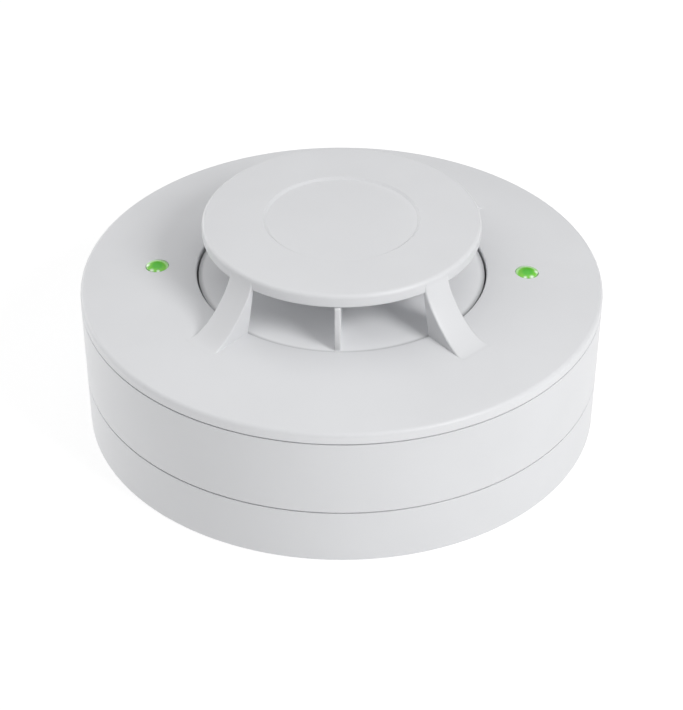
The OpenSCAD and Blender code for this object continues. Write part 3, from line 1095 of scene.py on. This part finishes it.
@dataclass
class HeadHousing:
    """Middle band of the side with its floor, spigot, seal ledge, screw bosses and locking lugs."""

    paints: Paints
    wall: SideWall
    lock: TwistLock
    spigot_r: float = 44.94
    spigot_t: float = 1.9
    floor_z: float = 10.6
    floor_t: float = 1.6
    shelf_step: float = 0.9
    shelf_slope: float = 1.0
    inner_r: float = 47.8
    seal_z: float = 22.8
    seal_w: float = 1.9
    seal_t: float = 0.5
    seal_foot: float = 1.4
    lug_root: float = 1.0
    boss_r: float = 4.0
    boss_root: float = 0.8
    boss_top_z: float = 14.4
    screw_hole_r: float = 1.6
    screw_well_r: float = 3.0
    screw_well_z: float = 12.6
    wiper_at_r: float = 36.5
    wiper_half: Point = (2.6, 0.7)

    def shell(self) -> Object:
        """Turns the wall, floor and spigot.

        Returns:
            The solid.
        """
        top_z = self.wall.band_top_z
        bottom_z = high_mm("mounting_base").z + self.wall.seam_gap
        spigot_in, shelf_z = self.spigot_r - self.spigot_t, self.floor_z + self.floor_t
        seal_in = self.inner_r - self.seal_w
        step_z = shelf_z + self.shelf_step
        return turned("housing_shell", [
            (0.0, self.floor_z, 0.0),
            (spigot_in, self.floor_z, 0.5),
            (spigot_in, self.lock.lug_z, MOULD_EDGE),
            (self.spigot_r, self.lock.lug_z, 0.4),
            (self.spigot_r, bottom_z, FINE_EDGE),
            (self.wall.radius(bottom_z), bottom_z, SEAM_EDGE),
            (self.wall.radius(top_z), top_z, SEAM_EDGE),
            (self.inner_r, top_z, MOULD_EDGE),
            (self.inner_r, self.seal_z, FINE_EDGE),
            (seal_in, self.seal_z, 0.15),
            (seal_in, self.seal_z - self.seal_t, 0.15),
            (self.inner_r, self.seal_z - self.seal_foot, MOULD_EDGE),
            (self.inner_r, step_z, 0.5),
            (spigot_in, step_z, MOULD_EDGE),
            (spigot_in - self.shelf_slope, shelf_z, MOULD_EDGE),
            (0.0, shelf_z, 0.0),
        ], ROUND_SEGMENTS)

    def at_bosses(self, name: str, radius: float, heights: Point, rounding: float) -> list[Object]:
        """Turns one pin at each screw boss.

        Args:
            name: name of each pin.
            radius: radius of the pin, in millimetres.
            heights: lowest and highest point, in millimetres.
            rounding: radius of its upper edge, in millimetres.

        Returns:
            The pins.
        """
        low, high = heights
        outline = [(0.0, low, 0.0), (radius, low, 0.0), (radius, high, rounding), (0.0, high, 0.0)]
        return around(SCREW_ANGLES, lambda: turned(name, outline, SMALL_SEGMENTS, (SCREW_AT_R, 0.0)))

    def wiper_slots(self) -> list[Object]:
        """Makes the cutters of the slots that the wipers pass through.

        Returns:
            The cutters.
        """
        half_x, half_y = self.wiper_half
        low = (self.wiper_at_r - half_x, -half_y, self.floor_z - PAST)
        high = (self.wiper_at_r + half_x, half_y, self.floor_z + self.floor_t + PAST)
        return around(TERMINAL_ANGLES, lambda: block("wiper_slot", low, high, 0.1))

    def build(self) -> None:
        """Builds the housing as one moulding."""
        housing = self.shell()
        lug_radii = (self.spigot_r - self.lug_root, self.lock.lug_r)
        lug_heights = (self.lock.lug_z, self.lock.lug_z + self.lock.lug_t)
        boss_heights = (self.floor_z + self.boss_root, self.boss_top_z)
        hole_heights, well_heights = (0.0, self.boss_top_z + PAST), (0.0, self.screw_well_z)
        joined(housing, self.lock.teeth("lug", lug_radii, lug_heights), Joinery.ADD)
        joined(housing, self.at_bosses("boss", self.boss_r, boss_heights, 0.4), Joinery.ADD)
        joined(housing, self.at_bosses("hole", self.screw_hole_r, hole_heights, 0.0), Joinery.CUT)
        joined(housing, self.at_bosses("well", self.screw_well_r, well_heights, 0.0), Joinery.CUT)
        joined(housing, self.wiper_slots(), Joinery.CUT)
        housing.name = "housing_moulding"
        settle(housing, "head", self.paints.of("housing_plastic"), "head_housing")


@dataclass
class OuterCover:
    """Cover with its rounded lip, two slopes, round opening, four struts and the air cap."""

    paints: Paints
    wall: SideWall
    top_z: float = field(default_factory=lambda: high_mm("outer_cover").z)
    lip_h: float = 2.3
    lip_round: float = 0.85
    slope_w: float = 12.9
    slope_rise: float = 1.7
    inner_rise: float = 0.6
    wall_t: float = 2.0
    opening_r: float = 27.7
    throat_t: float = 1.6
    throat_foot_z: float = 21.6
    spigot_r: float = 47.6
    spigot_t: float = 1.6
    spigot_foot_z: float = 23.8
    cap_r: float = 26.45
    cap_t: float = 2.6
    edge_round: float = 0.8
    edge_drop: float = 0.03
    under_round: float = 0.35
    cap_crown: float = 0.35
    crown_rings: tuple[float, ...] = (24.0, 22.0, 20.0, 18.0, 16.5)
    recess_r: float = 14.6
    recess_depth: float = 0.42
    recess_slope: float = 0.55
    recess_round: float = 0.25
    recess_ring_w: float = 1.5
    strut_w: float = 5.8
    strut_round: float = 0.32
    strut_angles: tuple[float, ...] = (-133.0, -47.0, 47.0, 133.0)
    strut_inset: float = 0.2
    strut_bow: float = 0.33
    strut_flare: float = 1.7
    strut_front_flare: float = 0.35
    strut_proud: float = 0.03
    strut_lift: float = 0.02
    strut_neck: float = 0.7
    strut_clear: float = 0.1
    strut_sink: float = 0.6
    strut_root: float = 0.9
    boss_r: float = 3.2
    boss_bore_r: float = 1.3
    boss_root: float = 0.6
    lens_r: float = 2.1
    lens_clearance: float = 0.15

    @property
    def lip_z(self) -> float:
        """Height of the lip's top."""
        return self.wall.seam_z + self.lip_h

    @property
    def ring_r(self) -> float:
        """Radius of the line where the two slopes meet."""
        return self.wall.top_r - self.slope_w

    @property
    def ring_z(self) -> float:
        """Height of that line."""
        return self.lip_z + self.slope_rise

    @property
    def rim_z(self) -> float:
        """Height of the opening's rim."""
        return self.ring_z + self.inner_rise

    @property
    def cap_edge_z(self) -> float:
        """Height of the cap's edge, below its crown."""
        share = (self.recess_r / (self.cap_r - self.edge_round)) ** 2
        return self.top_z - self.cap_crown * (1 - share)

    @property
    def cap_under_z(self) -> float:
        """Height of the cap's underside."""
        return self.cap_edge_z - self.cap_t

    def crown_z(self, r: float) -> float:
        """Height of the crowned top at a radius."""
        return self.cap_edge_z + self.cap_crown * (1 - (r / (self.cap_r - self.edge_round)) ** 2)

    def shell(self) -> Object:
        """Turns the cover's shell.

        Returns:
            The solid.
        """
        edge_r = self.wall.top_r
        slope = self.slope_rise / (edge_r - self.edge_round - self.ring_r)
        bottom = self.wall.seam_z + self.wall.seam_gap / 2
        inside = self.spigot_r - self.spigot_t
        under = self.lip_z - self.wall_t
        throat = self.opening_r + self.throat_t
        return turned("outer_cover_shell", [
            (self.opening_r, self.rim_z, MOULD_EDGE),
            (self.ring_r, self.ring_z, 0.0),
            (edge_r, self.ring_z - slope * (edge_r - self.ring_r), self.lip_round),
            (edge_r, bottom, SEAM_EDGE),
            (self.spigot_r, bottom, 0.1),
            (self.spigot_r, self.spigot_foot_z, MOULD_EDGE),
            (inside, self.spigot_foot_z, MOULD_EDGE),
            (inside, under, 0.6),
            (self.ring_r, self.ring_z - self.wall_t, 0.0),
            (throat, self.rim_z - self.wall_t, MOULD_EDGE),
            (throat, self.throat_foot_z, MOULD_EDGE),
            (self.opening_r, self.throat_foot_z, MOULD_EDGE),
        ], ROUND_SEGMENTS)

    def cap(self) -> Object:
        """Turns the air cap with its crown and its shallow recess.

        Returns:
            The solid.
        """
        edge_r = self.cap_r - self.edge_round
        wall_out = self.recess_r + self.recess_slope / 2
        wall_in = self.recess_r - self.recess_slope / 2
        floor_z = self.crown_z(self.recess_r) - self.recess_depth
        return turned("air_cap", [
            (0.0, self.cap_under_z, 0.0),
            (self.cap_r, self.cap_under_z, self.under_round),
            (self.cap_r, self.crown_z(edge_r) - self.edge_drop, self.edge_round),
            *((r, self.crown_z(r), 0.0) for r in self.crown_rings),
            (wall_out, self.crown_z(wall_out), self.recess_round),
            (wall_in, floor_z, self.recess_round),
            (wall_in - self.recess_ring_w, floor_z, 0.0),
            (0.0, floor_z, 0.0),
        ], ROUND_SEGMENTS)

    @property
    def strut_ends(self) -> tuple[Vector, Vector]:
        """Ends of a strut's outer face, as (radius, height).

        Returns:
            Its top, on the cap's edge, and its foot, on the cover.
        """
        foot_z = self.ring_z + self.inner_rise * self.strut_inset / (self.ring_r - self.opening_r)
        top = Vector((self.cap_r + self.strut_proud, self.cap_edge_z - self.edge_round))
        return top, Vector((self.ring_r - self.strut_inset, foot_z + self.strut_lift))

    def strut_outer(self, t: float) -> tuple[Vector, Vector]:
        """Point of a strut's concave outer face and the face's normal there, as (radius, height).

        Args:
            t: place along the face, from 0 at the cap's edge to 1 on the cover.

        Returns:
            The point and the unit normal.
        """
        top, foot = self.strut_ends
        below_top = top - Vector((0.0, self.strut_bow * (top.y - foot.y)))
        before_foot = foot - Vector((self.strut_bow * (foot.x - top.x), 0.0))
        left = 1 - t
        point = left ** 3 * top + 3 * left ** 2 * t * below_top + 3 * left * t * t * before_foot
        point += t ** 3 * foot
        along = left ** 2 * (below_top - top) + 2 * left * t * (before_foot - below_top)
        along += t * t * (foot - before_foot)
        return point, Vector((-along.y, along.x)).normalized()

    def strut_inner(self, t: float) -> Vector:
        """Point of a strut's inner face, which bends at the corner of the opening.

        Args:
            t: place along the face, from 0 under the cap to 1 inside the cover.

        Returns:
            The point, as (radius, height).
        """
        top, foot = self.strut_ends
        corner = Vector((self.opening_r + self.strut_clear, self.rim_z - self.strut_sink))
        if t <= 0.5:
            return Vector((self.cap_r - self.strut_neck, top.y)).lerp(corner, 2 * t)
        return corner.lerp(foot - Vector((0.0, self.strut_root)), 2 * t - 1)

    def strut(self, angle: float) -> Object:
        """Sweeps one strut: its outer face runs flush from the cap's edge into the cover.

        Args:
            angle: place of the strut about the axis, in degrees.

        Returns:
            The strut's solid.
        """
        stations, across, corner_steps = 30, 8, 4
        half, soft = self.strut_w / 2, self.strut_round
        side = [(half, None)]
        for k in range(corner_steps + 1):
            b = math.pi / 2 * k / corner_steps
            side.append((half - soft * (1 - math.cos(b)), soft * (1 - math.sin(b))))
        flat = [((half - soft) * (1 - 2 * k / across), 0.0) for k in range(1, across)]
        loop = side + flat + [(-y, depth) for y, depth in reversed(side)]
        flare_side = -math.copysign(1.0, math.sin(math.radians(2 * angle)))
        vertices: list[Corner] = []
        for i in range(stations + 1):
            t = i / stations
            outer, normal = self.strut_outer(t)
            for y, depth in loop:
                r, z = self.strut_inner(t) if depth is None else outer - normal * depth
                flare = self.strut_flare if y * flare_side > 0 else self.strut_front_flare
                y *= 1 + flare * t ** 5 / half
                vertices.append((math.sqrt(r * r - y * y), y, z))
        return turn_about_z(new_piece("strut", vertices, lofted_faces(stations + 1, len(loop))), angle)

    def bosses(self) -> list[Object]:
        """Turns the inner screw bosses.

        Returns:
            The bosses.
        """
        low_z = low_mm("outer_cover").z
        high_z = self.lip_z - self.wall_t + self.boss_root
        outline = [
            (self.boss_bore_r, low_z, FINE_EDGE), (self.boss_r, low_z, MOULD_EDGE),
            (self.boss_r, high_z, 0.0), (self.boss_bore_r, high_z, 0.0),
        ]
        return around(SCREW_ANGLES, lambda: turned("boss", outline, SMALL_SEGMENTS, (SCREW_AT_R, 0.0)))

    def lens_hole(self, node: str) -> Object:
        """Makes the cutter of one lens hole.

        Args:
            node: the lens that the hole is for.

        Returns:
            The cutter.
        """
        low, high = low_mm(node), high_mm(node)
        radius = self.lens_r + self.lens_clearance
        low_z, high_z = self.ring_z - 2 * self.wall_t, high.z + 2 * PAST
        outline = [(0.0, low_z, 0.0), (radius, low_z, 0.0), (radius, high_z, 0.0), (0.0, high_z, 0.0)]
        return turned("lens_hole", outline, 64, ((low.x + high.x) / 2, (low.y + high.y) / 2))

    def build(self) -> None:
        """Builds the cover as one moulding."""
        cover = self.shell()
        joined(cover, [self.strut(a) for a in self.strut_angles], Joinery.ADD)
        joined(cover, [self.cap()], Joinery.ADD)
        joined(cover, self.bosses(), Joinery.ADD)
        joined(cover, [self.lens_hole(f"indicator_lens_{side}") for side in ("left", "right")], Joinery.CUT)
        cover.name = "cover_moulding"
        settle(cover, "head", self.paints.of("cover_plastic"), "outer_cover")


@dataclass
class SensorDish:
    """Floor of the air chamber with its hub, skirt, flange, feet and two upright vanes."""

    paints: Paints
    cover: OuterCover
    dish_r: float = DISH_R
    sink: float = 0.6
    thickness: float = 1.6
    edge_round: float = 0.2
    cone_r: float = 13.6
    cone_round: float = 3.0
    hub_r: float = 5.5
    hub_rise: float = 1.9
    hub_depth: float = 2.0
    bore_r: float = 3.45
    flange_r: float = 31.0
    foot_r: float = 1.8
    foot_inset: float = 2.2
    foot_root: float = 0.8
    foot_angles: tuple[float, ...] = (30.0, 150.0, 270.0)
    vane_t: float = 1.1
    vane_gap: float = 0.1
    vane_root: float = 1.0
    vane_sink: float = 0.5
    vane_past_cap: float = 0.25
    vane_angles: tuple[float, ...] = (-90.0, 90.0)

    @property
    def top_z(self) -> float:
        """Height of the dish's floor."""
        return self.cover.rim_z - self.sink

    def floor(self) -> Object:
        """Turns the floor with its hub, cone, skirt and flange.

        Returns:
            The solid.
        """
        top, under, flange_z = self.top_z, self.top_z - self.thickness, self.cover.throat_foot_z
        hub_z, flange_foot_z = top + self.hub_rise, flange_z - self.thickness
        skirt_r = self.dish_r - self.thickness
        return turned("sensor_dish_floor", [
            (self.bore_r, hub_z, 0.15),
            (self.hub_r, hub_z, 0.4),
            (self.cone_r, top, self.cone_round),
            (self.dish_r, top, self.edge_round),
            (self.dish_r, flange_z, MOULD_EDGE),
            (self.flange_r, flange_z, MOULD_EDGE),
            (self.flange_r, flange_foot_z, MOULD_EDGE),
            (skirt_r, flange_foot_z, MOULD_EDGE),
            (skirt_r, under, 0.5),
            (self.hub_r, under, MOULD_EDGE),
            (self.hub_r, under - self.hub_depth, FINE_EDGE),
            (self.bore_r, under - self.hub_depth, FINE_EDGE),
        ], ROUND_SEGMENTS)

    def feet(self) -> list[Object]:
        """Turns the feet that stand on the circuit board.

        Returns:
            The feet.
        """
        low_z, high_z = low_mm("sensor_dish").z, self.cover.throat_foot_z - self.foot_root
        radius, at = self.foot_r, (self.flange_r - self.foot_inset, 0.0)
        foot = [(0.0, low_z, 0.0), (radius, low_z, FINE_EDGE), (radius, high_z, 0.0), (0.0, high_z, 0.0)]
        return around(self.foot_angles, lambda: turned("foot", foot, SMALL_SEGMENTS, at))

    def vanes(self) -> list[Object]:
        """Makes the upright vanes between the floor and the cap.

        Returns:
            The vanes.
        """
        half = self.vane_t / 2
        low = (self.cone_r - self.vane_root, -half, self.top_z - self.vane_sink)
        high = (self.cover.cap_r + self.vane_past_cap, half, self.cover.cap_under_z - self.vane_gap)
        return around(self.vane_angles, lambda: block("vane", low, high, FINE_EDGE))

    def build(self) -> None:
        """Builds the dish and its vanes."""
        dish = self.floor()
        joined(dish, self.feet(), Joinery.ADD)
        joined(dish, self.vanes(), Joinery.ADD)
        dish.name = "sensor_dish_moulding"
        settle(dish, "head", self.paints.of("dish_plastic"), "sensor_dish")


@dataclass
class IndicatorLens:
    """Green lens: a domed end over the cover, a collar below it and a light pipe down to its LED."""

    cover: OuterCover
    side: str
    collar_r: float = 2.9
    collar_t: float = 0.9
    collar_drop: float = 1.2
    dome_h: float = 0.5
    dome_steps: int = 12
    segments: int = 96
    sharp_deg: float = 60.0
    # Places and sizes of the painted highlights, in radii of the lens, for the lens on the right; the left
    # one takes them mirrored.
    gleams: tuple[Corner, ...] = ((0.86, -0.05, 0.3), (0.47, -0.9, 0.36), (-0.18, -0.97, 0.26))

    def dome(self, top_z: float) -> list[Corner]:
        """Outline of the domed end, from just inside its edge to its top.

        Args:
            top_z: height of its top, in millimetres.

        Returns:
            Corners of the outline.
        """
        radius = self.cover.lens_r
        ball = (radius ** 2 + self.dome_h ** 2) / (2 * self.dome_h)
        spread = math.asin(radius / ball)
        corners: list[Corner] = []
        for i in range(1, self.dome_steps):
            a = spread * (1 - i / self.dome_steps)
            corners.append((ball * math.sin(a), top_z - ball * (1 - math.cos(a)), 0.0))
        return [*corners, (0.0, top_z, 0.0)]

    def build(self) -> None:
        """Builds the lens and gives it its own material."""
        node = f"indicator_lens_{self.side}"
        low, high = low_mm(node), high_mm(node)
        centre = (low + high) / 2
        radius = self.cover.lens_r
        collar_z = self.cover.ring_z - self.cover.wall_t - self.collar_drop
        lens = turned(f"lens_{self.side}", [
            (0.0, low.z, 0.0),
            (radius, low.z, FINE_EDGE),
            (radius, collar_z, 0.0),
            (self.collar_r, collar_z, FINE_EDGE),
            (self.collar_r, collar_z + self.collar_t, FINE_EDGE),
            (radius, collar_z + self.collar_t, 0.0),
            (radius, high.z - self.dome_h, 0.0),
            *self.dome(high.z),
        ], self.segments, (centre.x, centre.y))
        outward = math.copysign(1.0, centre.x)
        gleams = tuple((outward * x, y, size) for x, y, size in self.gleams)
        spot = (centre.x * MM, centre.y * MM)
        finish = GreenLens(f"lens_green_finish_{self.side}", spot, radius * MM, gleams)
        settle(lens, "head", finish.material(), node, self.sharp_deg)


@dataclass
class KeptSolids:
    """Solids whose own shape is right: each takes the finish of its record slot."""

    paints: Paints

    def dress(self) -> None:
        """Gives every solid that is still shown its procedural material."""
        slots = {part["node"]: part["material_slot"] for part in frame["record"]["subparts"]}
        for name, solid in frame["nodes"].items():
            if solid.hide_render:
                continue
            slot = slots[name]
            material = self.paints.of(slot)
            if not solid.material_slots:
                solid.data.materials.append(material)
            for place in solid.material_slots:
                place.material = material
            log.info("dressed %s as %s", name, slot)


# ---------------------------------------------------------------- studio


@dataclass
class Studio:
    """Pale floor, soft light and the camera."""

    target_z: float = 20.0
    distance: float = 500.0
    elevation_deg: float = 34.28
    azimuth_deg: float = 1.6
    look_down_deg: float = 35.09
    roll_deg: float = 0.09
    lens_mm: float = 130.66
    white: tuple[float, ...] = (1.0, 1.0, 1.0, 1.0)
    floor_r: float = 2500.0
    floor_steps: int = 64
    floor_z: float = -0.03
    floor_tone: Colour = (0.3, 0.3, 0.3)
    floor_mottle: float = 0.99
    floor_glow: float = 0.78
    key_azimuth_deg: float = 50.0
    key_elevation_deg: float = 38.0
    key_distance: float = 0.9
    key_size: float = 0.34
    key_power: float = 4.1
    edge_glow: float = 2.7
    edge_glow_deg: float = -123.5
    edge_sharpness: float = 8.0
    rear_glow: float = 1.45
    rear_glow_deg: float = -137.0
    rear_sharpness: float = 16.0
    glow_above: float = 1.14

    def _direction(self, azimuth_deg: float, elevation_deg: float) -> Vector:
        """Direction from the object at an azimuth from the front and a height above the floor.

        Args:
            azimuth_deg: angle from the front towards +X.
            elevation_deg: angle above the floor.

        Returns:
            The unit vector.
        """
        a, e = math.radians(azimuth_deg), math.radians(elevation_deg)
        return Vector((math.cos(e) * math.sin(a), -math.cos(e) * math.cos(a), math.sin(e)))

    def camera(self) -> None:
        """Places the camera."""
        data = bpy.data.cameras.new("studio_camera")
        data.lens = self.lens_mm
        data.sensor_width = 36.0
        data.clip_start = 0.01
        camera = bpy.data.objects.new("studio_camera", data)
        bpy.context.scene.collection.objects.link(camera)
        target = Vector((0.0, 0.0, self.target_z))
        spot = (target + self._direction(self.azimuth_deg, self.elevation_deg) * self.distance) * MM
        heading = Matrix.Rotation(math.radians(self.azimuth_deg), 4, "Z")
        tilt = Matrix.Rotation(math.radians(90 - self.look_down_deg), 4, "X")
        roll = Matrix.Rotation(math.radians(self.roll_deg), 4, "Z")
        camera.matrix_world = Matrix.Translation(spot) @ heading @ tilt @ roll
        bpy.context.scene.camera = camera

    def floor(self) -> None:
        """Lays the floor."""
        angles = [2 * math.pi * k / self.floor_steps for k in range(self.floor_steps)]
        points = [(self.floor_r * math.cos(a), self.floor_r * math.sin(a), self.floor_z) for a in angles]
        floor = new_piece("studio_floor", points, [tuple(range(self.floor_steps))])
        floor.data.materials.append(make_material("studio_floor_finish", self._floor_sheet))

    def _floor_sheet(self, shader: Shader) -> Sheet:
        """Pale matt paper.

        Args:
            shader: the floor's shader.

        Returns:
            Inputs of the Principled shader.
        """
        mottle = shader.noise(shader.place(), 40 * MM, 3.0)
        pale = tuple(c * self.floor_mottle for c in self.floor_tone)
        return {
            "Base Color": shader.blend(mottle, pale, self.floor_tone),
            "Roughness": 0.9,
            "Specular IOR Level": 0.1,
            "Emission Color": self.white,
            "Emission Strength": self.floor_glow,
        }

    def light(self) -> None:
        """Hangs the key light and sets the soft surround."""
        data = bpy.data.lights.new("key_softbox", "AREA")
        data.shape = "DISK"
        data.size = self.key_size
        data.energy = self.key_power
        key = bpy.data.objects.new("key_softbox", data)
        bpy.context.scene.collection.objects.link(key)
        direction = self._direction(self.key_azimuth_deg, self.key_elevation_deg)
        key.location = direction * self.key_distance
        key.rotation_euler = direction.to_track_quat("Z", "Y").to_euler()
        world = bpy.data.worlds.new("soft_surround")
        world.use_nodes = True
        bpy.context.scene.world = world
        shader = Shader(world.node_tree)
        heading = shader.add("ShaderNodeTexCoord", {}, {}, "Generated")
        x, y, z = shader.axes(heading)
        glow = self.glow_above * z.at_least(0.0) ** 2
        panels = ((self.edge_glow, self.edge_glow_deg, self.edge_sharpness),
                  (self.rear_glow, self.rear_glow_deg, self.rear_sharpness))
        for strength, azimuth, sharpness in panels:
            facing = self._direction(azimuth, 0.0)
            glow = glow + strength * (facing.x * x + facing.y * y).at_least(0.0) ** sharpness
        surround = shader.add("ShaderNodeBackground", {}, {"Color": self.white, "Strength": glow})
        shader.raw("ShaderNodeOutputWorld", {}, {"Surface": surround})

    def build(self) -> None:
        """Sets up floor, light, camera and plain colour handling."""
        self.floor()
        self.light()
        self.camera()
        bpy.context.scene.view_settings.view_transform = "Standard"


def main() -> None:
    """Builds the sub-assemblies in order."""
    logging.basicConfig(level=logging.INFO, format="%(message)s")
    paints = Paints()
    wall = SideWall()
    lock = TwistLock()
    MountingBase(paints, wall, lock).build()
    HeadHousing(paints, wall, lock).build()
    cover = OuterCover(paints, wall)
    cover.build()
    SensorDish(paints, cover).build()
    for side in ("left", "right"):
        IndicatorLens(cover, side).build()
    KeptSolids(paints).dress()
    Studio().build()


if __name__ == "__main__":
    main()
